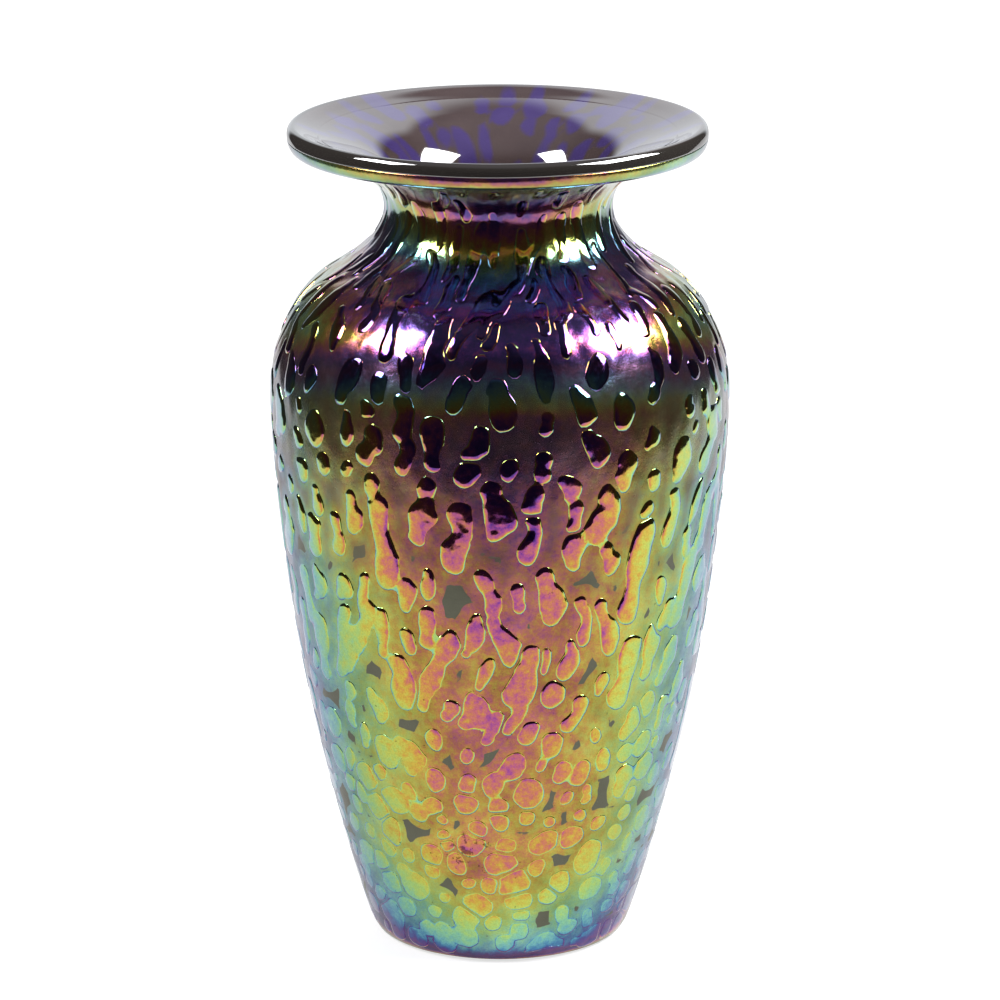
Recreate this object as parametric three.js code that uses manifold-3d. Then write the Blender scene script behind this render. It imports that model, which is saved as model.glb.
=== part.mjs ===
// Hand blown art glass vase: a clear inner gather cased in violet glass, chips of
// glass melted into sockets in that casing, a rolled lip and a ground pontil button.
// Millimetres, +Z up, origin at the centre of the ground foot.
import * as THREE from "three";
import { mergeVertices } from "three/addons/utils/BufferGeometryUtils.js";
import Module from "manifold-3d";

// Driving dimensions
const FOOT_RADIUS = 29; // where the ground foot ends and the heel begins
const HEEL_RADIUS = 3.2; // rounding between foot and wall
const BODY_RADIUS = 55.7;
const BODY_HEIGHT = 134; // height of the widest ring
const NECK_RADIUS = 27.6;
const NECK_HEIGHT = 181.5;
const RIM_RADIUS = 50.7;
const HEIGHT = 203;
const CASING = 2.1; // thickness of the violet casing
const GATHER = 1.5; // thickness of the clear gather inside it
const GAP = 0.3; // between pieces that are fused on the real vase
const FOOT_THICKNESS = 3; // casing under the gather
const FLOOR_HEIGHT = 8.3; // inside floor above the foot
const FLOOR_EDGE = 3.5; // how far a flat floor stops short of its wall
const FLOOR_START = 0.012; // where on the wall the floors turn up
const PONTIL_RADIUS = 12;
const PONTIL_DEPTH = 1.7; // socket for the pontil button
const PONTIL_HOLLOW = 0.5; // depth that the button is ground in
const AROUND = 36; // facets round the axis

const CHIP_COUNT = 48;
const CHIP_THICKNESS = 0.8; // half the thickness of a chip at its middle
const CHIP_SUNK = 0.2; // how far a chip's middle lies under the surface
const FIRST_CHIP = 0.055; // places of the lowest and highest chip, as shares of the wall
const LAST_CHIP = 0.87;
const ROUND_CHIP = { across: 3.2, along: 3.4 }; // half sizes near the foot
const DRAWN_CHIP = { across: 3.6, along: 7.5 }; // on the body, where the glass stretched
const NECK_CHIP = { across: 2.3, along: 5.3 }; // on the shoulder and the neck
const CHIP_VARIES = 0.13; // share by which sizes differ
const CHIP_LEAN = 0.3; // most that a drawn chip leans, as a slope
const GOLDEN_ANGLE = Math.PI * (3 - Math.sqrt(5));

const wasm = await Module();
wasm.setup();

// The outside of the wall as [radius, height], from the heel to the lip.
const wall = new THREE.SplineCurve(
  [
    [FOOT_RADIUS + HEEL_RADIUS, HEEL_RADIUS],
    [34.4, 10],
    [37.4, 20],
    [42.6, 40],
    [47.0, 60],
    [50.4, 80],
    [53.0, 100],
    [55.0, 120],
    [BODY_RADIUS, BODY_HEIGHT],
    [55.1, 145],
    [51.8, 154.6],
    [48.3, 160.6],
    [43.4, 165.4],
    [36.0, 170.3],
    [30.5, 175.4],
    [NECK_RADIUS, NECK_HEIGHT],
    [28.7, 187.6],
    [34.0, 192.7],
    [41.0, 195.8],
    [45.0, 197.2],
  ].map(([radius, height]) => new THREE.Vector2(radius, height)),
);
const WALL_ROWS = wall.points.length - 1;
const WALL_LENGTH = wall.getLength();

// A point of the wall, moved out along the wall's normal. It runs from 0 at the heel to 1
// at the lip, and passes each of the wall's own points in even steps.
function wallPoint(t, out = 0) {
  const along = wall.getTangent(t);
  const normal = new THREE.Vector2(along.y, -along.x);
  return wall.getPoint(t).addScaledVector(normal, out);
}

// The wall's points at one depth under its surface, from a first one to the lip.
function wallRow(depth, from = 0) {
  return Array.from({ length: WALL_ROWS + 1 }, (_, i) =>
    wallPoint(from + ((1 - from) * i) / WALL_ROWS, -depth),
  );
}

// Points along a round arc of the profile, angles in degrees from the radius direction.
function arc([radius, height], size, start, end, steps) {
  return Array.from({ length: steps + 1 }, (_, i) => {
    const angle = THREE.MathUtils.degToRad(start + ((end - start) * i) / steps);
    return new THREE.Vector2(
      radius + size * Math.cos(angle),
      height + size * Math.sin(angle),
    );
  });
}

function outline(...points) {
  return points.map(([radius, height]) => new THREE.Vector2(radius, height));
}

// A closed profile turned round the Z axis.
function turned(points) {
  return new THREE.LatheGeometry(points, AROUND).rotateX(Math.PI / 2);
}

function solid(geometry) {
  const bare = geometry.clone();
  bare.deleteAttribute("normal");
  bare.deleteAttribute("uv");
  const merged = mergeVertices(bare, 1e-3);
  return new wasm.Manifold(
    new wasm.Mesh({
      numProp: 3,
      vertProperties: merged.attributes.position.array,
      triVerts: new Uint32Array(merged.index.array),
    }),
  );
}

function geometryOf(manifold) {
  const mesh = manifold.getMesh();
  const geometry = new THREE.BufferGeometry();
  geometry.setAttribute(
    "position",
    new THREE.BufferAttribute(mesh.vertProperties, 3),
  );
  geometry.setIndex(new THREE.BufferAttribute(mesh.triVerts, 1));
  return geometry;
}

// Materials: colour, roughness and metalness of each glass
const clearGlass = new THREE.MeshStandardMaterial({
  color: 0x5b4f78,
  roughness: 0.05,
  metalness: 0,
});
const violetCasing = new THREE.MeshStandardMaterial({
  color: 0x6f6a35,
  roughness: 0.3,
  metalness: 0.8,
});
const iridisedChip = new THREE.MeshStandardMaterial({
  color: 0xd0a83a,
  roughness: 0.1,
  metalness: 0.9,
});
const lipGlass = new THREE.MeshStandardMaterial({
  color: 0x1d1626,
  roughness: 0.04,
  metalness: 0,
});

const vase = new THREE.Group();

function add(name, geometry, material) {
  const mesh = new THREE.Mesh(geometry, material);
  mesh.name = name;
  vase.add(mesh);
}

// Clear inner gather: the bubble that was blown first, thickest in its floor
function innerGather() {
  const outside = wallRow(CASING + GAP, 2 * FLOOR_START);
  const inside = wallRow(CASING + GAP + GATHER, 4 * FLOOR_START).reverse();
  const under = FOOT_THICKNESS + GAP;
  const corner = inside.at(-1).x - FLOOR_EDGE;
  return turned([
    ...outline([0, under], [outside[0].x - FLOOR_EDGE, under]),
    ...outside,
    ...inside,
    ...outline([corner, FLOOR_HEIGHT + 0.4 * FLOOR_EDGE]),
    ...outline([corner - FLOOR_EDGE, FLOOR_HEIGHT], [0, FLOOR_HEIGHT]),
  ]);
}

// Violet casing: the outer wall and the foot, with the pontil's socket underneath
function violetWall() {
  const inside = wallRow(CASING, FLOOR_START).reverse();
  const corner = inside.at(-1).x - FLOOR_EDGE;
  const socket = PONTIL_RADIUS + GAP;
  return turned([
    ...outline([0, PONTIL_DEPTH], [socket, PONTIL_DEPTH], [socket, 0]),
    ...outline([FOOT_RADIUS, 0]),
    ...arc([FOOT_RADIUS, HEEL_RADIUS], HEEL_RADIUS, -75, -15, 3),
    ...wallRow(0),
    ...inside,
    ...outline([corner, FOOT_THICKNESS], [0, FOOT_THICKNESS]),
  ]);
}

// Rolled lip: the bead that closes the edge of gather and casing. Its section runs from
// the underside round the outside to the dish, in and down from the rim's top corner.
const LIP_SECTION = [
  [3.5, 6],
  [2.1, 6.05],
  [0.9, 5.5],
  [0.2, 4.3],
  [0, 2.7],
  [0.1, 1.4],
  [0.6, 0.5],
  [1.5, 0],
  [2.5, 0.25],
  [3.7, 0.75],
];

function rolledLip() {
  const seam = wall.getTangentAt(1);
  const under = wallPoint(1).addScaledVector(seam, GAP);
  const over = wallPoint(1, -(CASING + GAP + GATHER)).addScaledVector(seam, GAP);
  const bead = LIP_SECTION.map(([inward, down]) => [RIM_RADIUS - inward, HEIGHT - down]);
  return turned([under, ...outline(...bead), over, under.clone()]);
}

// Pontil button: the bit of clear glass left by the iron, ground to a shallow hollow.
// Its land stays just above the foot, so the vase never stands on it.
function pontilButton() {
  const top = PONTIL_DEPTH - GAP;
  const land = 0.1;
  const edge = PONTIL_RADIUS - 1.5;
  return turned(
    outline(
      [0, PONTIL_HOLLOW],
      [0.6 * edge, 0.7 * PONTIL_HOLLOW],
      [edge, land],
      [PONTIL_RADIUS, land],
      [PONTIL_RADIUS, top],
      [0, top],
    ),
  );
}

// One chip as a lens bent to the wall. Its place is a share of the wall's length and an
// angle round the axis, its half sizes are across and along the wall, and lean tilts it.
function lens(chip, grown = 0) {
  const geometry = new THREE.SphereGeometry(1, 8, 4);
  const position = geometry.attributes.position;
  const vertex = new THREE.Vector3();
  for (let i = 0; i < position.count; i++) {
    vertex.fromBufferAttribute(position, i);
    const across = vertex.x * (chip.across + grown);
    const along = -vertex.z * (chip.along + grown);
    const t = wall.getUtoTmapping(chip.share + along / WALL_LENGTH);
    const out = vertex.y * (CHIP_THICKNESS + grown) - CHIP_SUNK;
    const onWall = wallPoint(t, out);
    const surface = wallPoint(t);
    const turn = chip.turn + (across + chip.lean * along) / surface.x;
    position.setXYZ(
      i,
      onWall.x * Math.cos(turn),
      onWall.x * Math.sin(turn),
      onWall.y,
    );
  }
  return geometry;
}

// The chips follow a spiral up the wall. Those near the foot are round, those higher up
// were drawn out as the bubble was blown and necked.
function chipAt(index) {
  const { lerp, smoothstep } = THREE.MathUtils;
  const share = lerp(FIRST_CHIP, LAST_CHIP, (index + 0.5) / CHIP_COUNT);
  const drawn = smoothstep(share, 0.25, 0.6);
  const necked = smoothstep(share, 0.72, 0.88);
  const half = (way) =>
    lerp(lerp(ROUND_CHIP[way], DRAWN_CHIP[way], drawn), NECK_CHIP[way], necked) *
    (1 + CHIP_VARIES * Math.sin(index * 2.4));
  return {
    share,
    turn: index * GOLDEN_ANGLE,
    across: half("across"),
    along: half("along"),
    lean: CHIP_LEAN * drawn * Math.sin(index * 1.7),
  };
}

const chips = Array.from({ length: CHIP_COUNT }, (_, i) => chipAt(i));

let casing = solid(violetWall());
chips.forEach((chip, i) => {
  casing = casing.subtract(solid(lens(chip, GAP)));
  add(
    "glass_chip_" + String(i + 1).padStart(2, "0"),
    lens(chip),
    iridisedChip,
  );
});

add("inner_gather", innerGather(), clearGlass);
add("violet_casing", geometryOf(casing), violetCasing);
add("rolled_lip", rolledLip(), lipGlass);
add("pontil_button", pontilButton(), clearGlass);

export default vase;
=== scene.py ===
import math
import random

import bmesh
import bpy
from mathutils import Matrix, Vector, kdtree, noise


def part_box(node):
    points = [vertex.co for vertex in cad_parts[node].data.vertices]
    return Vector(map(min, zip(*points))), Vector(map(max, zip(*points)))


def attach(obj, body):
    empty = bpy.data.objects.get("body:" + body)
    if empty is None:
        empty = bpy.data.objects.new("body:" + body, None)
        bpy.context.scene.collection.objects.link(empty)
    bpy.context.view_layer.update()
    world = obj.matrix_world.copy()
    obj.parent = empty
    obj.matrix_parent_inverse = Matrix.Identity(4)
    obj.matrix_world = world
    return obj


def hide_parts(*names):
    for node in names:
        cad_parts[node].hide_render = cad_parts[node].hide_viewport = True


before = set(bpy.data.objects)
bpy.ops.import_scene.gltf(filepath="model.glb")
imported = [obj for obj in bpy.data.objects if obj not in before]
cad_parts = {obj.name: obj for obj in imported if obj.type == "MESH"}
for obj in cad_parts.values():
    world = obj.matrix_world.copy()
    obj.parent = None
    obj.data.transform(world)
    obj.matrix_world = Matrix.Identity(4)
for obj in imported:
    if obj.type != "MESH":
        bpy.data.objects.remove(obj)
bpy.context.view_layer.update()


# --- Camera and table -------------------------------------------------------------
# The vase is looked at from a little above, through a long lens, on a white table
# that ends a hand's width in front of it, with a dark room beyond and a white sheet
# behind. Two window lights stand left and right.

camera_data = bpy.data.cameras.new("camera")
camera_data.lens = 180
camera_data.sensor_width = 36
camera = bpy.data.objects.new("camera", camera_data)
bpy.context.collection.objects.link(camera)
look_down = math.radians(15.5)
aim_height = 0.1089
camera_distance = 1.226
camera.location = (
    0,
    -camera_distance * math.cos(look_down),
    aim_height + camera_distance * math.sin(look_down),
)
camera.rotation_euler = (math.pi / 2 - look_down, 0, 0)
bpy.context.scene.camera = camera
bpy.context.scene.view_settings.view_transform = "Standard"


def new_material(name):
    """A material with its Principled shader, and a call that adds nodes to it."""
    material = bpy.data.materials.new(name)
    material.use_nodes = True
    tree = material.node_tree
    shader = tree.nodes["Principled BSDF"]

    def node(kind, inputs=(), **settings):
        made = tree.nodes.new("ShaderNode" + kind)
        for key, value in settings.items():
            setattr(made, key, value)
        for key, value in dict(inputs).items():
            if isinstance(value, bpy.types.NodeSocket):
                tree.links.new(value, made.inputs[key])
            else:
                made.inputs[key].default_value = value
        return made

    def connect(**sockets):
        for key, value in sockets.items():
            socket = shader.inputs[key.replace("_", " ")]
            if isinstance(value, bpy.types.NodeSocket):
                tree.links.new(value, socket)
            else:
                socket.default_value = value

    return material, node, connect


def table():
    front, back, side = -0.29, 2.6, 0.33
    bm = bmesh.new()
    bmesh.ops.create_grid(bm, x_segments=1, y_segments=1, size=1)
    bmesh.ops.scale(bm, vec=(side, (back - front) / 2, 1), verts=bm.verts)
    bmesh.ops.scale(bm, vec=(4, 1, 1), verts=[v for v in bm.verts if v.co.y > 0])
    bmesh.ops.translate(bm, vec=(0, (back + front) / 2, 0), verts=bm.verts)
    slant = Matrix.Rotation(math.radians(-9), 3, "Z")
    bmesh.ops.rotate(bm, cent=(0, 0, 0), matrix=slant, verts=bm.verts)
    mesh = bpy.data.meshes.new("table")
    bm.to_mesh(mesh)
    bm.free()
    top = bpy.data.objects.new("table", mesh)
    bpy.context.collection.objects.link(top)
    material, node, connect = new_material("white table")
    seen = node("LightPath").outputs["Is Camera Ray"]
    away = node("SeparateXYZ", {0: node("TexCoord").outputs["Object"]}).outputs["Y"]
    far = node("MapRange", {"Value": away, "From Min": 0.05, "From Max": 0.6, "To Min": 0.7, "To Max": 1.0})
    glow = node("MapRange", {"Value": seen, "To Min": 0.46, "To Max": far.outputs[0]}).outputs[0]
    connect(
        Base_Color=(0.34, 0.34, 0.345, 1), Roughness=0.7,
        Emission_Color=(1, 1, 1, 1), Emission_Strength=glow,
    )
    mesh.materials.append(material)


def window_light(name, azimuth, height, distance, width, tall, strength):
    """A soft light that faces the vase; azimuth 0 is the camera's side."""
    light = bpy.data.lights.new(name, "AREA")
    light.shape = "RECTANGLE"
    light.size = width
    light.size_y = tall
    light.energy = strength * math.pi * width * tall
    lamp = bpy.data.objects.new(name, light)
    bpy.context.collection.objects.link(lamp)
    turn = math.radians(azimuth)
    rise = math.radians(height)
    way = Vector((math.sin(turn) * math.cos(rise), -math.cos(turn) * math.cos(rise), math.sin(rise)))
    lamp.location = way * distance + Vector((0, 0, 0.12))
    lamp.rotation_euler = way.to_track_quat("Z", "Y").to_euler()
    lamp.visible_camera = False


def room():
    """White to the eye and behind the vase, dark to the front and above."""
    world = bpy.data.worlds.new("studio")
    bpy.context.scene.world = world
    world.use_nodes = True
    nodes = world.node_tree.nodes
    link = world.node_tree.links.new
    nodes.clear()
    way = nodes.new("ShaderNodeTexCoord")
    parts = nodes.new("ShaderNodeSeparateXYZ")
    link(way.outputs["Generated"], parts.inputs[0])

    def band(socket, low, high):
        step = nodes.new("ShaderNodeMapRange")
        step.interpolation_type = "SMOOTHSTEP"
        step.inputs["From Min"].default_value = low
        step.inputs["From Max"].default_value = high
        link(socket, step.inputs["Value"])
        return step.outputs[0]

    behind = band(parts.outputs["Y"], 0.35, 0.6)
    low = band(parts.outputs["Z"], 0.8, 0.7)
    above = band(parts.outputs["Z"], 0.6, 0.95)
    aside = nodes.new("ShaderNodeMath")
    aside.operation = "ABSOLUTE"
    link(parts.outputs["X"], aside.inputs[0])
    narrow = band(aside.outputs[0], 0.46, 0.3)
    tall = nodes.new("ShaderNodeMath")
    tall.operation = "MULTIPLY"
    link(behind, tall.inputs[0])
    link(low, tall.inputs[1])
    sheet = nodes.new("ShaderNodeMath")
    sheet.operation = "MULTIPLY"
    link(tall.outputs[0], sheet.inputs[0])
    link(narrow, sheet.inputs[1])
    glow = nodes.new("ShaderNodeMix")
    glow.data_type = "RGBA"
    glow.inputs[6].default_value = (0.032, 0.027, 0.03, 1)
    glow.inputs[7].default_value = (0.13, 0.12, 0.14, 1)
    link(above, glow.inputs["Factor"])
    tint = nodes.new("ShaderNodeMix")
    tint.data_type = "RGBA"
    link(glow.outputs[2], tint.inputs[6])
    tint.inputs[7].default_value = (0.8, 0.83, 0.87, 1)
    link(sheet.outputs[0], tint.inputs["Factor"])
    studio = nodes.new("ShaderNodeBackground")
    link(tint.outputs[2], studio.inputs["Color"])
    white = nodes.new("ShaderNodeBackground")
    white.inputs["Color"].default_value = (1, 1, 1, 1)
    rays = nodes.new("ShaderNodeLightPath")
    seen = nodes.new("ShaderNodeMixShader")
    link(rays.outputs["Is Camera Ray"], seen.inputs[0])
    link(studio.outputs[0], seen.inputs[1])
    link(white.outputs[0], seen.inputs[2])
    out = nodes.new("ShaderNodeOutputWorld")
    link(seen.outputs[0], out.inputs[0])


table()
room()
window_light("left window", -76, 43, 1.0, 0.42, 0.38, 22)
window_light("right window", 83, 43, 1.0, 0.66, 0.44, 20)


# --- Blown shape ------------------------------------------------------------------
# The wall was blown on the iron and swung long, then necked with jacks and its mouth
# spun out. Every layer of glass follows this one outline, given as radius and height
# in millimetres from the heel to the lip.

wall_points = [
    (29.0, 0.0), (30.8, 0.7), (32.2, 3.2), (34.4, 10), (37.4, 20), (42.6, 40), (47.0, 60),
    (50.4, 80), (53.0, 100), (55.0, 120), (55.7, 134), (55.1, 145), (51.8, 154.6),
    (48.3, 160.6), (43.4, 165.4), (36.0, 170.3), (30.5, 175.4), (27.6, 181.5),
    (28.7, 187.6), (34.0, 192.7), (41.0, 195.8), (45.0, 197.2),
]


def smooth_line(points, steps):
    """Points along a smooth curve through the given ones, at even distances."""
    ends = [2 * Vector(points[0]) - Vector(points[1]), 2 * Vector(points[-1]) - Vector(points[-2])]
    chain = [ends[0]] + [Vector(p) for p in points] + [ends[1]]
    dense = []
    for a, b, c, d in zip(chain, chain[1:], chain[2:], chain[3:]):
        for i in range(24):
            t = i / 24
            dense.append(
                0.5 * (2 * b + (c - a) * t + (2 * a - 5 * b + 4 * c - d) * t * t
                       + (3 * b - a - 3 * c + d) * t * t * t)
            )
    dense.append(chain[-2])
    runs = [0.0]
    for a, b in zip(dense, dense[1:]):
        runs.append(runs[-1] + (b - a).length)
    line = []
    k = 0
    for i in range(steps + 1):
        reach = runs[-1] * i / steps
        while k < len(runs) - 2 and runs[k + 1] < reach:
            k += 1
        share = (reach - runs[k]) / (runs[k + 1] - runs[k])
        line.append(dense[k].lerp(dense[k + 1], share))
    return line, runs[-1]


wall_line, wall_length = smooth_line(wall_points[1:], 460)


def wall_at(run):
    """Radius, height and outward normal of the wall at a distance up it."""
    place = min(max(run / wall_length, 0), 1) * (len(wall_line) - 1)
    k = min(int(place), len(wall_line) - 2)
    at = wall_line[k].lerp(wall_line[k + 1], place - k)
    along = (wall_line[min(k + 2, len(wall_line) - 1)] - wall_line[max(k - 1, 0)]).normalized()
    return at, Vector((along.y, -along.x))


def run_at(height):
    """Distance up the wall at a height."""
    low, high = 0, len(wall_line) - 1
    while high - low > 1:
        middle = (low + high) // 2
        if wall_line[middle].y < height:
            low = middle
        else:
            high = middle
    a, b = wall_line[low].y, wall_line[high].y
    share = min(max((height - a) / (b - a), 0), 1)
    return (low + share) * wall_length / (len(wall_line) - 1)


def on_wall(turn, run, out=0.0):
    at, normal = wall_at(run)
    radius = at.x + normal.x * out
    return Vector((radius * math.cos(turn), radius * math.sin(turn), at.y + normal.y * out))


# --- Scatter of chips -------------------------------------------------------------
# Chips of glass were strewn on the marver and picked up on the hot casing. Near the
# foot they stayed round; higher up the glass stretched and drew them into drops and
# long runs, which lean as the bubble was turned. Many touch and flow together.

draw = random.Random(11)
spots = []  # centre on the wall, radius, number of the chip


def strew(turn, run, half_width, half_length, lean, number):
    """One chip, as a row of round spots along its length."""
    steps = max(1, round(2 * (half_length - half_width) / (0.8 * half_width)))
    wave = draw.uniform(-1, 1)
    for i in range(steps + 1):
        along = (2 * i / steps - 1) if half_length > half_width * 1.05 else 0
        reach = along * max(half_length - half_width, 0)
        swell = 1 + 0.22 * math.sin(3.1 * along + 5 * wave) - 0.18 * abs(along)
        at, _ = wall_at(run + reach)
        across = lean * reach + 0.5 * half_width * wave * math.sin(2.6 * along + wave)
        spots.append((on_wall(turn + across / at.x, run + reach), max(half_width * swell, 1.1), number))
        if half_length <= half_width * 1.05:
            break


def drawn_out(height):
    """Half width, half length and gap of the chips at a height."""
    steps = [
        (0, 3.3, 3.4, 5.6), (40, 3.2, 3.6, 5.6), (60, 2.9, 5.5, 5.7), (85, 2.7, 8.5, 6.0),
        (110, 2.7, 8.5, 7.0), (128, 3.1, 5.6, 8.8), (148, 2.8, 7.0, 7.8), (160, 1.9, 9.5, 5.8),
        (175, 1.4, 10.0, 4.6), (186, 1.5, 7.0, 4.8), (197, 2.6, 4.0, 6.4),
    ]
    for a, b in zip(steps, steps[1:]):
        if height <= b[0]:
            share = (height - a[0]) / (b[0] - a[0])
            return [p + (q - p) * share for p, q in zip(a, b)][1:]
    return list(steps[-1][1:])


chip_nodes = [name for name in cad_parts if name.startswith("glass_chip")]
chips = []  # turn, run, half width, half length


def try_chip(turn, run, half_width, half_length, gap):
    """Keeps a chip if no other lies too near it."""
    at, _ = wall_at(run)
    for other in chips:
        up = abs(other[1] - run)
        if up > 40:
            continue
        round_about = abs((turn - other[0] + math.pi) % (2 * math.pi) - math.pi) * at.x
        long = 0.5 * (half_length + other[3]) * 1.62
        if (round_about / gap) ** 2 + (up / long) ** 2 < 1:
            return False
    chips.append((turn, run, half_width, half_length))
    return True


for name in chip_nodes:
    low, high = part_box(name)
    middle = (Vector(low) + Vector(high)) / 2
    height = middle.z * 1000
    half_width, half_length, gap = drawn_out(height)
    chips.append((math.atan2(middle.y, middle.x), run_at(height), half_width * 1.15, half_length))
for _ in range(14000):
    turn = draw.uniform(-math.pi, math.pi)
    run = draw.uniform(3, wall_length - 1)
    at, _ = wall_at(run)
    if draw.random() > at.x / 56:
        continue
    half_width, half_length, gap = drawn_out(at.y)
    size = draw.uniform(0.6, 1.3)
    try_chip(turn, run, half_width * size, half_length * size * draw.uniform(0.6, 1.35), gap * (0.5 + 0.5 * size))

for number, (turn, run, half_width, half_length) in enumerate(chips):
    sway = noise.noise(Vector((3 * math.cos(turn), 3 * math.sin(turn), run / 40)))
    lean = 0.1 + 0.3 * sway + draw.uniform(-0.3, 0.3)
    strew(turn, run, half_width, half_length, lean, number)

spot_tree = kdtree.KDTree(len(spots))
for i, (centre, _, _) in enumerate(spots):
    spot_tree.insert(centre, i)
spot_tree.balance()


joined = list(range(len(chips)))


def pool_of(number):
    """Chips that flowed together share the lowest of their numbers."""
    while joined[number] != number:
        number = joined[number]
    return number


tried = set()
for centre, radius, number in spots:
    for _, index, gap in spot_tree.find_range(centre, 8):
        other = spots[index][2]
        if other <= number or (number, other) in tried or gap > radius + spots[index][1] + 0.4:
            continue
        tried.add((number, other))
        low, high = sorted((pool_of(number), pool_of(other)))
        share = 0.3 if centre.z < 50 else 0.65 if centre.z < 125 else 0.35
        if low != high and high >= len(chip_nodes) and draw.random() < share:
            joined[high] = low
spots = [(centre, radius, pool_of(number)) for centre, radius, number in spots]

chip_rise = {number: chips[number][1] for number in range(len(chips))}
seam = 0.2  # half the groove left where two chips meet


def distance_to_chips(point, number=None):
    """Distance to the edge of the nearest chip, or of the one asked for, less than 0
    inside it; the same to the edge of the film round the chips; the way out; the chip."""
    warped = point + 0.8 * noise.noise_vector(point * 0.16) + 0.22 * noise.noise_vector(point * 0.55)
    pulls = {}
    film = 9.0
    for centre, index, gap in spot_tree.find_range(warped, 10):
        _, radius, owner = spots[index]
        pull = math.exp((radius - gap) / 0.45)
        total, way = pulls.get(owner, (0.0, Vector()))
        pulls[owner] = (total + pull, way + (warped - centre) * (pull / max(gap, 0.01)))
        film = min(film, gap - radius)
    film -= 1.8 + 1.1 * min(max((point.z - 40) / 30, 0), 1) + 0.8 * noise.noise(point * 0.12)
    if point.z < 7:
        film = -1.0
    if not pulls or (number is not None and number not in pulls):
        return 9.0, film, Vector(), -1
    if number is None:
        number = max(pulls, key=lambda owner: pulls[owner][0])
    total, way = pulls.pop(number)
    reach = -0.45 * math.log(total)
    way = way.normalized()
    if pulls:
        rival, rival_way = max(pulls.values(), key=lambda pair: pair[0])
        groove = (reach + 0.45 * math.log(rival)) / 2 + seam
        if groove > reach:
            return groove, film, (way - rival_way.normalized()).normalized(), number
    return reach, film, way, number


def spun(profile, steps, closed=True):
    """A profile in the XZ plane turned once round the Z axis."""
    bm = bmesh.new()
    verts = [bm.verts.new((p[0], 0, p[1])) for p in profile]
    edges = [bm.edges.new(pair) for pair in zip(verts, verts[1:])]
    if closed:
        edges.append(bm.edges.new((verts[-1], verts[0])))
    bmesh.ops.spin(
        bm, geom=verts + edges, cent=(0, 0, 0), axis=(0, 0, 1),
        angle=2 * math.pi, steps=steps, use_merge=True,
    )
    bmesh.ops.remove_doubles(bm, verts=bm.verts, dist=1e-4)
    bmesh.ops.recalc_face_normals(bm, faces=bm.faces)
    return bm


def settle(bm):
    """The slight lean of a hand turned neck and mouth."""
    for vert in bm.verts:
        rise = min(max((vert.co.z - 120) / 83, 0), 1)
        vert.co.x -= 0.6 * rise * rise
        vert.co.z += 0.003 * vert.co.x * rise * rise


def finished(name, bm, material, nodes):
    """Makes the piece, in metres, and hands it to the frame."""
    settle(bm)
    bmesh.ops.scale(bm, vec=(0.001, 0.001, 0.001), verts=bm.verts)
    mesh = bpy.data.meshes.new(name)
    bm.to_mesh(mesh)
    bm.free()
    mesh.shade_smooth()
    mesh.materials.append(material)
    piece = bpy.data.objects.new(name, mesh)
    bpy.context.collection.objects.link(piece)
    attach(piece, "root")
    if nodes:
        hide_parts(*nodes)
    return piece


# --- Iridescent film --------------------------------------------------------------
# A metal salt sprayed on the hot glass left a film of oxide. Its colour runs through
# the soap film order as the surface turns away and as the film thins to the foot and
# thickens on the shoulder. The darker blue violet along the very bottom edge of the foot
# is partly film colour, partly painted contact shade.

film_colours = [
    (0.00, (0.04, 0.03, 0.19)),
    (0.07, (0.12, 0.04, 0.28)),
    (0.13, (0.36, 0.08, 0.28)),
    (0.18, (0.52, 0.14, 0.18)),
    (0.23, (0.58, 0.22, 0.09)),
    (0.29, (0.58, 0.39, 0.06)),
    (0.37, (0.52, 0.56, 0.10)),
    (0.46, (0.38, 0.60, 0.18)),
    (0.55, (0.26, 0.56, 0.33)),
    (0.64, (0.17, 0.44, 0.46)),
    (0.73, (0.08, 0.24, 0.42)),
    (0.82, (0.08, 0.08, 0.28)),
    (0.91, (0.16, 0.05, 0.20)),
    (1.00, (0.04, 0.03, 0.19)),
]


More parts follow.
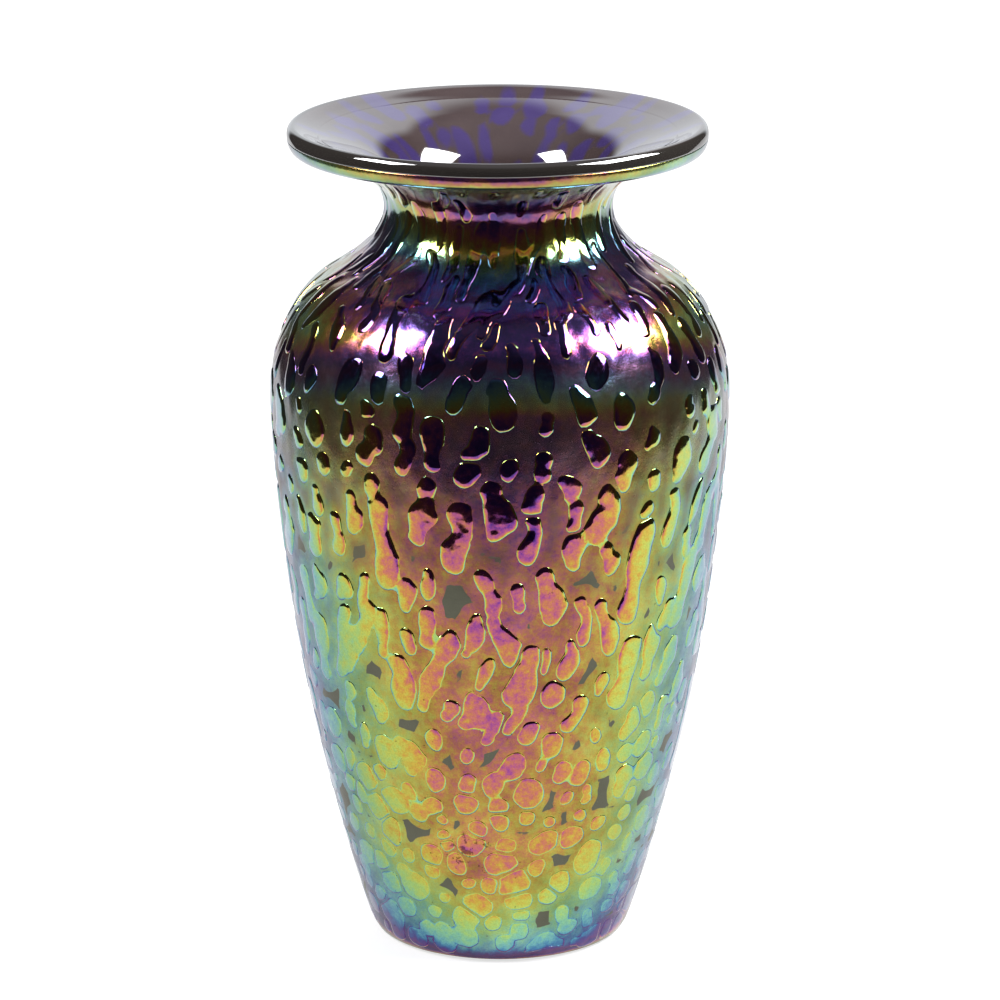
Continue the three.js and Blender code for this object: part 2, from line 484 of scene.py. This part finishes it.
def film_colour(node, normal, shift):
    """Colour of the film from the angle it is seen at, its height and its unevenness."""
    place = node("TexCoord").outputs["Object"]
    weight = node("LayerWeight", {"Blend": 0.5, "Normal": normal})
    height = node("SeparateXYZ", {0: place}).outputs["Z"]
    share = node("MapRange", {"Value": height, "From Min": 0.0, "From Max": 0.203}).outputs[0]
    curve = node("FloatCurve", {"Value": share})
    points = curve.mapping.curves[0].points
    # The lowest entries turn the film at the bottom edge of the foot a darker blue violet: partly the film's colour,
    # partly a painted contact shadow where the foot meets the table.
    heights = [
        (0.0, 0.78), (0.012, 0.55), (0.03, 0.4), (0.062, 0.24), (0.12, 0.1), (0.16, 0.06), (0.22, 0.09),
        (0.41, 0.12), (0.49, 0.1), (0.55, 0.08), (0.6, 0.09), (0.665, 0.04), (0.69, 0.05), (0.705, 0.11),
        (0.72, 0.33), (0.735, 0.56), (0.75, 0.7), (0.765, 0.86), (0.778, 0.97), (0.793, 0.88), (0.813, 0.74),
        (0.827, 0.66), (0.837, 0.6), (0.85, 0.52), (0.867, 0.37), (0.89, 0.17), (0.904, 0.07), (0.925, -0.15),
        (0.94, -0.33), (0.955, -0.36), (0.968, 0.04), (1.0, 0.05),
    ]
    points[0].location = (heights[0][0], (heights[0][1] + 0.4) / 1.6)
    points[1].location = (heights[-1][0], (heights[-1][1] + 0.4) / 1.6)
    for spot in heights[1:-1]:
        points.new(spot[0], (spot[1] + 0.4) / 1.6)
    curve.mapping.update()
    large = node("TexNoise", {"Vector": place, "Scale": 40.0, "Detail": 3.0})
    fine = node("TexNoise", {"Vector": place, "Scale": 420.0, "Detail": 6.0, "Roughness": 0.7})
    tilt = node("Math", {0: weight.outputs["Facing"], 1: 0.8, 2: shift}, operation="MULTIPLY_ADD")
    total = node("Math", {0: curve.outputs[0], 1: 1.6, 2: tilt.outputs[0]}, operation="MULTIPLY_ADD")
    rough = node("Math", {0: large.outputs[0], 1: 0.3, 2: total.outputs[0]}, operation="MULTIPLY_ADD")
    grain = node("Math", {0: fine.outputs[0], 1: 0.4, 2: rough.outputs[0]}, operation="MULTIPLY_ADD")
    phase = node("Math", {0: grain.outputs[0]}, operation="FRACT")
    ramp = node("ValToRGB", {"Fac": phase.outputs[0]})
    stops = ramp.color_ramp.elements
    stops[0].position = film_colours[0][0]
    stops[0].color = (*film_colours[0][1], 1)
    stops[1].position = film_colours[-1][0]
    stops[1].color = (*film_colours[-1][1], 1)
    for position, colour in film_colours[1:-1]:
        stops.new(position).color = (*colour, 1)
    edge = node("Math", {0: weight.outputs["Facing"], 1: 4.5}, operation="POWER")
    pale = node("Mix", {"Factor": edge.outputs[0], 6: ramp.outputs[0], 7: (0.62, 0.7, 0.76, 1)}, data_type="RGBA")
    dust = node("TexNoise", {"Vector": place, "Scale": 2600.0, "Detail": 3.0, "Roughness": 0.7})
    dim = node("MapRange", {"Value": dust.outputs[0], "From Min": 0.35, "From Max": 0.6, "To Min": 0.82})
    flaw = node("TexNoise", {"Vector": place, "Scale": 640.0, "Detail": 4.0, "Roughness": 0.6})
    bruise = node("VectorMath", {0: place, 1: (-0.0083, -0.0396, 0.0315)}, operation="DISTANCE").outputs["Value"]
    weak = node("MapRange", {"Value": bruise, "To Min": 0.17, "From Max": 0.011, "To Max": 0.0})
    worn = node("Math", {0: flaw.outputs[0], 1: weak.outputs[0]}, operation="ADD")
    pits = node("MapRange", {"Value": worn.outputs[0], "From Min": 0.7, "From Max": 0.73, "To Min": 1.0, "To Max": 0.4})
    both = node("Math", {0: dim.outputs[0], 1: pits.outputs[0]}, operation="MULTIPLY")
    return node("VectorMath", {0: pale.outputs[2], "Scale": both.outputs[0]}, operation="SCALE").outputs[0]


# --- Clear gather -----------------------------------------------------------------
# The first bubble of clear glass, seen only inside the mouth. Through it show the
# backs of the chips, violet, on the brown grey of the casing.

casing_thick = 2.1
gather_thick = 1.5
layer_gap = 0.3


def inner_colour(node):
    """Brown grey casing with the violet backs of the chips, seen through clear glass."""
    place = node("TexCoord").outputs["Object"]
    spot = node("Attribute", attribute_name="spot").outputs["Fac"]
    wear = node("TexNoise", {"Vector": place, "Scale": 90.0, "Detail": 5.0}).outputs[0]
    edge = node("MapRange", {"Value": spot, "From Min": 0.5, "From Max": -0.4}).outputs[0]
    brown = node("Mix", {"Factor": wear, 6: (0.035, 0.022, 0.024, 1), 7: (0.085, 0.06, 0.055, 1)}, data_type="RGBA")
    blue = node("Mix", {"Factor": wear, 6: (0.03, 0.018, 0.085, 1), 7: (0.065, 0.042, 0.17, 1)}, data_type="RGBA")
    both = node("Mix", {"Factor": edge, 6: brown.outputs[2], 7: blue.outputs[2]}, data_type="RGBA")
    return both.outputs[2]


def gather_material():
    material, node, connect = new_material("clear gather over violet")
    place = node("TexCoord").outputs["Object"]
    ripple = node("TexNoise", {"Vector": place, "Scale": 60.0, "Detail": 1.0}).outputs[0]
    bump = node("Bump", {"Height": ripple, "Strength": 0.05, "Distance": 0.002})
    connect(
        Base_Color=inner_colour(node), Roughness=0.06, IOR=2.25, Coat_Weight=1.0, Coat_Roughness=0.02,
        Coat_IOR=1.7, Normal=bump.outputs[0],
    )
    return material


def gather():
    outside = []
    inside = []
    for i in range(91):
        run = wall_length * (0.03 + 0.97 * i / 90)
        at, normal = wall_at(run)
        outside.append(at - normal * (casing_thick + layer_gap))
        inside.append(at - normal * (casing_thick + layer_gap + gather_thick))
    at, normal = wall_at(wall_length - 0.04)
    inside.insert(-1, at - normal * (casing_thick + layer_gap + gather_thick))
    floor = [Vector((inside[3].x - 3, 9.2)), Vector((inside[3].x - 9, 8.3)), Vector((0, 8.3))]
    profile = [Vector((0, 3.3)), Vector((outside[0].x - 3.5, 3.3))] + outside + inside[:2:-1] + floor
    bm = spun(profile, 160, closed=False)
    layer = bm.verts.layers.float.new("spot")
    for vert in bm.verts:
        if vert.co.z < 150:
            vert[layer] = 2.0
            continue
        turn = math.atan2(vert.co.y, vert.co.x)
        reach = Vector((math.hypot(vert.co.x, vert.co.y), vert.co.z))
        k = min(range(len(wall_line)), key=lambda i: (wall_line[i] - reach).length_squared)
        vert[layer] = distance_to_chips(on_wall(turn, wall_length * k / (len(wall_line) - 1)))[0]
    finished("inner_gather_glass", bm, gather_material(), ["inner_gather"])


gather()


# --- Violet casing ----------------------------------------------------------------
# Dark violet glass over the gather. Between the chips its film is matt and brown to
# olive, brighter in a band round each chip, and it misses whole patches, which stay
# dull grey.


def casing_material():
    material, node, connect = new_material("violet casing, matt film")
    place = node("TexCoord").outputs["Object"]
    chip = node("Attribute", attribute_name="chip").outputs["Fac"]
    film = node("Attribute", attribute_name="film").outputs["Fac"]
    grain = node("TexNoise", {"Vector": place, "Scale": 700.0, "Detail": 4.0, "Roughness": 0.7}).outputs[0]
    cloud = node("TexNoise", {"Vector": place, "Scale": 95.0, "Detail": 5.0}).outputs[0]
    bump = node("Bump", {"Height": grain, "Strength": 0.25, "Distance": 0.0002})
    colour = film_colour(node, bump.outputs[0], -0.72)
    height = node("SeparateXYZ", {0: place}).outputs["Z"]
    umber = node("MapRange", {"Value": height, "From Min": 0.09, "From Max": 0.12, "To Min": 0.25, "To Max": 0.75})
    violet = node("MapRange", {"Value": height, "From Min": 0.148, "From Max": 0.158, "To Max": -0.62})
    fade = node("Math", {0: umber.outputs[0], 1: violet.outputs[0]}, operation="ADD", use_clamp=True).outputs[0]
    dull = node("Mix", {"Factor": fade, 6: colour, 7: (0.2, 0.125, 0.105, 1)}, data_type="RGBA")
    uneven = node("Math", {0: cloud, 1: 3.5, 2: -1.75}, operation="MULTIPLY_ADD").outputs[0]
    ragged = node("Math", {0: chip, 1: uneven}, operation="ADD").outputs[0]
    beside = node("MapRange", {"Value": height, "From Min": 0.12, "From Max": 0.135, "To Min": 0.7, "To Max": 0.3})
    near = node("MapRange", {"Value": ragged, "From Min": 2.2, "From Max": 0.2, "To Max": beside.outputs[0]}).outputs[0]
    banded = node("Mix", {"Factor": near, 6: dull.outputs[2], 7: colour}, data_type="RGBA")
    shade = node("MapRange", {"Value": cloud, "From Min": 0.3, "From Max": 0.7, "To Min": 0.6, "To Max": 1.1})
    mottled = node("VectorMath", {0: banded.outputs[2], "Scale": shade.outputs[0]}, operation="SCALE")
    missed = node("MapRange", {"Value": film, "From Min": -0.06, "From Max": 0.06}).outputs[0]
    lower = node("MapRange", {"Value": height, "From Min": 0.125, "From Max": 0.105}).outputs[0]
    bare = node("Math", {0: missed, 1: lower}, operation="MULTIPLY").outputs[0]
    grey = node("Mix", {"Factor": cloud, 6: (0.08, 0.08, 0.055, 1), 7: (0.15, 0.15, 0.11, 1)}, data_type="RGBA")
    final = node("Mix", {"Factor": bare, 6: mottled.outputs[0], 7: grey.outputs[2]}, data_type="RGBA")
    matt = node("MapRange", {"Value": height, "From Min": 0.12, "From Max": 0.18, "To Min": 0.22, "To Max": 0.04})
    rough = node("Math", {0: grain, 1: 0.16, 2: matt.outputs[0]}, operation="MULTIPLY_ADD")
    gloss = node("MapRange", {"Value": height, "From Min": 0.12, "From Max": 0.15, "To Max": 0.8})
    connect(
        Base_Color=final.outputs[2], Roughness=rough.outputs[0], Metallic=0.9,
        Coat_Weight=gloss.outputs[0], Coat_Roughness=0.1, Normal=bump.outputs[0],
    )
    return material


# The round of the lip, from its underside up the outside and over to the dish
lip_points = [
    (45.0, 197.2), (46.2, 196.95), (47.4, 196.6), (48.7, 196.6), (49.8, 197.3), (50.45, 198.5), (50.7, 200.0),
    (50.65, 201.4), (50.2, 202.4), (49.3, 203.0), (48.2, 202.75), (46.9, 202.25), (45.2, 201.5), (43.75, 200.92),
]
lip_line, _ = smooth_line(lip_points, 60)
film_end = 27  # the row of the lip line where the film stops


def casing():
    rows = 230
    outside = [wall_at(wall_length * i / rows)[0] for i in range(rows + 1)]
    outside += lip_line[1:film_end + 1] + [Vector((48.9, lip_line[film_end].y - 0.3))]
    inside = []
    for i in range(25):
        at, normal = wall_at(wall_length * (0.02 + 0.98 * i / 24))
        inside.append(at - normal * casing_thick)
    under = [Vector((0, 1.7)), Vector((12.3, 1.7)), Vector((12.3, 0.25)), Vector((12.6, 0)), Vector((29.0, 0))]
    floor = [Vector((inside[0].x - 3.5, 3.0)), Vector((0, 3.0))]
    bm = spun(under + outside + inside[::-1] + floor, 336, closed=False)
    chip = bm.verts.layers.float.new("chip")
    film = bm.verts.layers.float.new("film")
    outer = {}
    for vert in bm.verts:
        at, normal = wall_at(run_at(vert.co.z))
        reach = math.hypot(vert.co.x, vert.co.y)
        on_outside = 3 < vert.co.z < 197 and abs(reach - at.x) < 0.8
        near, far = distance_to_chips(vert.co)[:2] if on_outside else (9, -1 if vert.co.z > 0.1 else 9)
        vert[chip] = near
        vert[film] = far
        if on_outside:
            outer[vert] = (vert.co / reach, normal, near)
    for vert, (way, normal, near) in outer.items():
        calm = min(max((vert.co.z - 8) / 130, 0), 1) * min((197 - vert.co.z) / 8, 1)
        tall = Vector((vert.co.x, vert.co.y, 0.45 * vert.co.z))
        wave = 0.7 * noise.noise(tall * 0.24) + 0.3 * noise.noise(tall * 0.55)
        out = calm * (0.3 * wave - 0.04)
        vert.co += out * Vector((way.x * normal.x, way.y * normal.x, normal.y))
    finished("violet_casing_glass", bm, casing_material(), ["violet_casing"])


casing()


# --- Iridised chips ---------------------------------------------------------------
# Each chip stands a third of a millimetre proud, with a round shoulder and a nearly
# flat, mirror bright top. Chips that flowed together are one pool.


def chip_material():
    material, node, connect = new_material("iridised chip, mirror film")
    place = node("TexCoord").outputs["Object"]
    ripple = node("TexNoise", {"Vector": place, "Scale": 130.0, "Detail": 2.0}).outputs[0]
    speck = node("TexNoise", {"Vector": place, "Scale": 900.0, "Detail": 3.0}).outputs[0]
    bump = node("Bump", {"Height": ripple, "Strength": 0.22, "Distance": 0.0012})
    depth = node("Attribute", attribute_name="depth").outputs["Fac"]
    thick = node("MapRange", {"Value": depth, "From Min": 0.1, "From Max": 0.5, "To Min": -0.5, "To Max": -0.75})
    colour = film_colour(node, bump.outputs[0], thick.outputs[0])
    rough = node("MapRange", {"Value": speck, "From Min": 0.4, "From Max": 0.8, "To Min": 0.05, "To Max": 0.16})
    height = node("SeparateXYZ", {0: place}).outputs["Z"]
    gloss = node("MapRange", {"Value": height, "From Min": 0.12, "From Max": 0.15})
    connect(
        Base_Color=colour, Roughness=rough.outputs[0], Metallic=1.0,
        Coat_Weight=gloss.outputs[0], Coat_Roughness=0.03, Normal=bump.outputs[0],
    )
    return material


def back_on_wall(point):
    """The point moved along the radius on to the wall, at its own height."""
    at, _ = wall_at(run_at(point.z))
    turn = math.atan2(point.y, point.x)
    return Vector((at.x * math.cos(turn), at.x * math.sin(turn), at.y))


def chip_height(depth, height, number):
    """How far a chip stands proud at a depth inside its edge; the low ones lie flatter."""
    up = min(max((height - 30) / 80, 0), 1)
    own = 0.8 + 0.5 * noise.noise(Vector((0.37 * number, 1.7, 0.2)))
    shoulder = min(max(depth / (0.55 + 0.55 * up), 0), 1)
    crown = min(max(depth / 3.5, 0), 1)
    high = 1 - 0.4 * min(max((height - 148) / 14, 0), 1)
    own *= high
    edge = (0.1 + 0.22 * up) * shoulder * shoulder * (3 - 2 * shoulder)
    return own * (edge + (0.03 + 0.06 * up) * crown * (2 - crown))


def pools():
    """The wall cut to the outline of each chip, every chip a sheet of its own."""
    rows = 228
    bm = spun([wall_at(wall_length * (0.012 + 0.985 * i / rows))[0] for i in range(rows + 1)], 336, closed=False)
    owner = bm.faces.layers.int.new("chip")
    bm.verts.layers.float.new("depth")
    found = {vert: distance_to_chips(vert.co) for vert in bm.verts}
    outside = []
    for face in bm.faces:
        depths = [found[v][0] for v in face.verts]
        numbers = {found[v][3] for v in face.verts}
        face[owner] = found[min(face.verts, key=lambda v: found[v][0])][3]
        if len(numbers) > 1:
            middle = distance_to_chips(face.calc_center_median())
            face[owner] = middle[3]
            depths = [middle[0] - 0.2]
        if sum(depths) > 0:
            outside.append(face)
    bmesh.ops.delete(bm, geom=outside, context="FACES")
    parted = [e for e in bm.edges if len(e.link_faces) == 2 and e.link_faces[0][owner] != e.link_faces[1][owner]]
    bmesh.ops.split_edges(bm, edges=parted)
    for _ in range(4):
        pinched = {v for v in bm.verts if sum(e.is_boundary for e in v.link_edges) > 2}
        lone = {f for f in bm.faces if sum(e.is_boundary for e in f.edges) > 2}
        bad = list(lone | {f for v in pinched for f in v.link_faces})
        bmesh.ops.delete(bm, geom=bad, context="FACES")
    rim = [v for v in bm.verts if v.is_boundary]
    for turn in range(5):
        for vert in rim:
            near, _, way, _ = distance_to_chips(vert.co, vert.link_faces[0][owner])
            vert.co = back_on_wall(vert.co - way * max(min(near, 0.6), -0.6))
        if turn < 4:
            beside = {v: [e.other_vert(v).co.copy() for e in v.link_edges if e.is_boundary] for v in rim}
            for vert, near in beside.items():
                vert.co = vert.co.lerp(sum(near, Vector()) / len(near), 0.5)
    inner = [v for v in bm.verts if not v.is_boundary]
    for _ in range(2):
        bmesh.ops.smooth_vert(bm, verts=inner, factor=0.5, use_axis_x=True, use_axis_y=True, use_axis_z=True)
    return bm, owner


def raised(bm, owner):
    """Turns the flat sheets into closed bodies with a round shoulder, sunk in the casing."""
    bottom = set(bm.faces)
    made = bmesh.ops.extrude_face_region(bm, geom=list(bm.faces), use_keep_orig=True)
    top = [g for g in made["geom"] if isinstance(g, bmesh.types.BMFace)]
    low_verts = {v for f in bottom for v in f.verts}
    edge_verts = {v for f in bm.faces for v in f.verts if v not in low_verts and f not in bottom
                  and any(w in low_verts for w in f.verts)}
    for _ in range(3):
        bmesh.ops.inset_region(bm, faces=top, thickness=0.22, depth=0, use_boundary=True, use_even_offset=False)
    free = [v for v in bm.verts if v not in low_verts and v not in edge_verts]
    for _ in range(4):
        bmesh.ops.smooth_vert(bm, verts=free, factor=0.5, use_axis_x=True, use_axis_y=True, use_axis_z=True)
    depth = bm.verts.layers.float["depth"]
    moves = []
    for vert in bm.verts:
        place = back_on_wall(vert.co)
        number = next((f[owner] for f in vert.link_faces if f[owner]), 0)
        near = distance_to_chips(place, number)[0]
        vert[depth] = -near
        at, normal = wall_at(run_at(place.z))
        out = chip_height(-near, place.z, number) - 0.02 if vert not in low_verts else -0.3
        turn = math.atan2(place.y, place.x)
        moves.append(place + out * Vector((normal.x * math.cos(turn), normal.x * math.sin(turn), normal.y)))
    for vert, place in zip(bm.verts, moves):
        vert.co = place
    bmesh.ops.recalc_face_normals(bm, faces=bm.faces)


chip_glass = chip_material()
sheet, owner = pools()
raised(sheet, owner)
bands = [(45, "chips_above_the_foot"), (90, "chips_on_the_lower_body"), (135, "chips_on_the_upper_body"),
         (170, "chips_on_the_shoulder"), (210, "chips_on_the_neck")]
bodies = {}
sheet_depth = sheet.verts.layers.float["depth"]
for face in sheet.faces:
    number = face[owner]
    if number < len(chip_nodes):
        bodies.setdefault("chip_%02d" % (number + 1), []).append(face)
    else:
        height = wall_at(chip_rise[number])[0].y
        bodies.setdefault(next(name for top, name in bands if height < top), []).append(face)
for name, faces in bodies.items():
    part = bmesh.new()
    depth = part.verts.layers.float.new("depth")
    copies = {}
    for face in faces:
        for vert in face.verts:
            if vert not in copies:
                copies[vert] = part.verts.new(vert.co)
                copies[vert][depth] = vert[sheet_depth]
        part.faces.new([copies[vert] for vert in face.verts])
    nodes = [node for i, node in enumerate(chip_nodes) if "chip_%02d" % (pool_of(i) + 1) == name]
    finished("iridised_" + name, part, chip_glass, nodes)
sheet.free()


# --- Rolled lip -------------------------------------------------------------------
# The edge of both layers was rolled and fire polished to a round bead of bare violet
# glass, nearly black, with no film on it.


def lip_material():
    material, node, connect = new_material("fire polished violet lip")
    place = node("TexCoord").outputs["Object"]
    parts = node("SeparateXYZ", {0: place})
    flat = node("CombineXYZ", {0: parts.outputs[0], 1: parts.outputs[1]})
    reach = node("VectorMath", {0: flat.outputs[0]}, operation="LENGTH").outputs["Value"]
    inward = node("MapRange", {"Value": reach, "From Min": 0.0496, "From Max": 0.0485}).outputs[0]
    ripple = node("TexNoise", {"Vector": place, "Scale": 45.0, "Detail": 2.0}).outputs[0]
    bump = node("Bump", {"Height": ripple, "Strength": 0.08, "Distance": 0.002})
    tint = node("Mix", {"Factor": inward, 6: (0.028, 0.025, 0.021, 1), 7: inner_colour(node)}, data_type="RGBA")
    connect(
        Base_Color=tint.outputs[2], Roughness=0.06, IOR=2.25, Coat_Weight=1.0, Coat_Roughness=0.02,
        Coat_IOR=1.7, Normal=bump.outputs[0],
    )
    return material


def lip():
    over = lip_line[film_end:]
    back, back_normal = wall_at(wall_length - 3)
    tongue = back - back_normal * (casing_thick + layer_gap + gather_thick - 0.08)
    profile = [Vector((48.9, over[0].y - 0.2))] + over + [tongue]
    profile += [tongue + back_normal * 0.5, over[-1] + Vector((0.5, -1.0))]
    bm = spun(profile, 200)
    layer = bm.verts.layers.float.new("spot")
    for vert in bm.verts:
        turn = math.atan2(vert.co.y, vert.co.x)
        reach = math.hypot(vert.co.x, vert.co.y) - over[-1].x
        vert[layer] = distance_to_chips(on_wall(turn, wall_length - 0.2, -0.1) + Vector((0, 0, 0.3 * reach)))[0]
    finished("rolled_lip_glass", bm, lip_material(), ["rolled_lip"])


lip()


# --- Pontil button ----------------------------------------------------------------
# The bit left by the iron, ground and polished to a shallow hollow under the foot.


def pontil():
    material, node, connect = new_material("ground pontil glass")
    place = node("TexCoord").outputs["Object"]
    rings = node("TexWave", {"Vector": place, "Scale": 900.0, "Distortion": 2.0}, wave_type="RINGS", rings_direction="Z")
    bump = node("Bump", {"Height": rings.outputs["Fac"], "Strength": 0.1, "Distance": 0.0001})
    connect(Base_Color=(0.02, 0.013, 0.035, 1), Roughness=0.16, IOR=1.52, Normal=bump.outputs[0])
    profile = [Vector((0, 0.5))]
    for i in range(1, 9):
        reach = i / 8
        profile.append(Vector((10.6 * reach, 0.5 - 0.4 * reach * reach)))
    profile += [Vector((11.8, 0.1)), Vector((12, 0.3)), Vector((12, 1.4)), Vector((0, 1.4))]
    finished("pontil_button_glass", spun(profile, 96, closed=False), material, ["pontil_button"])


pontil()
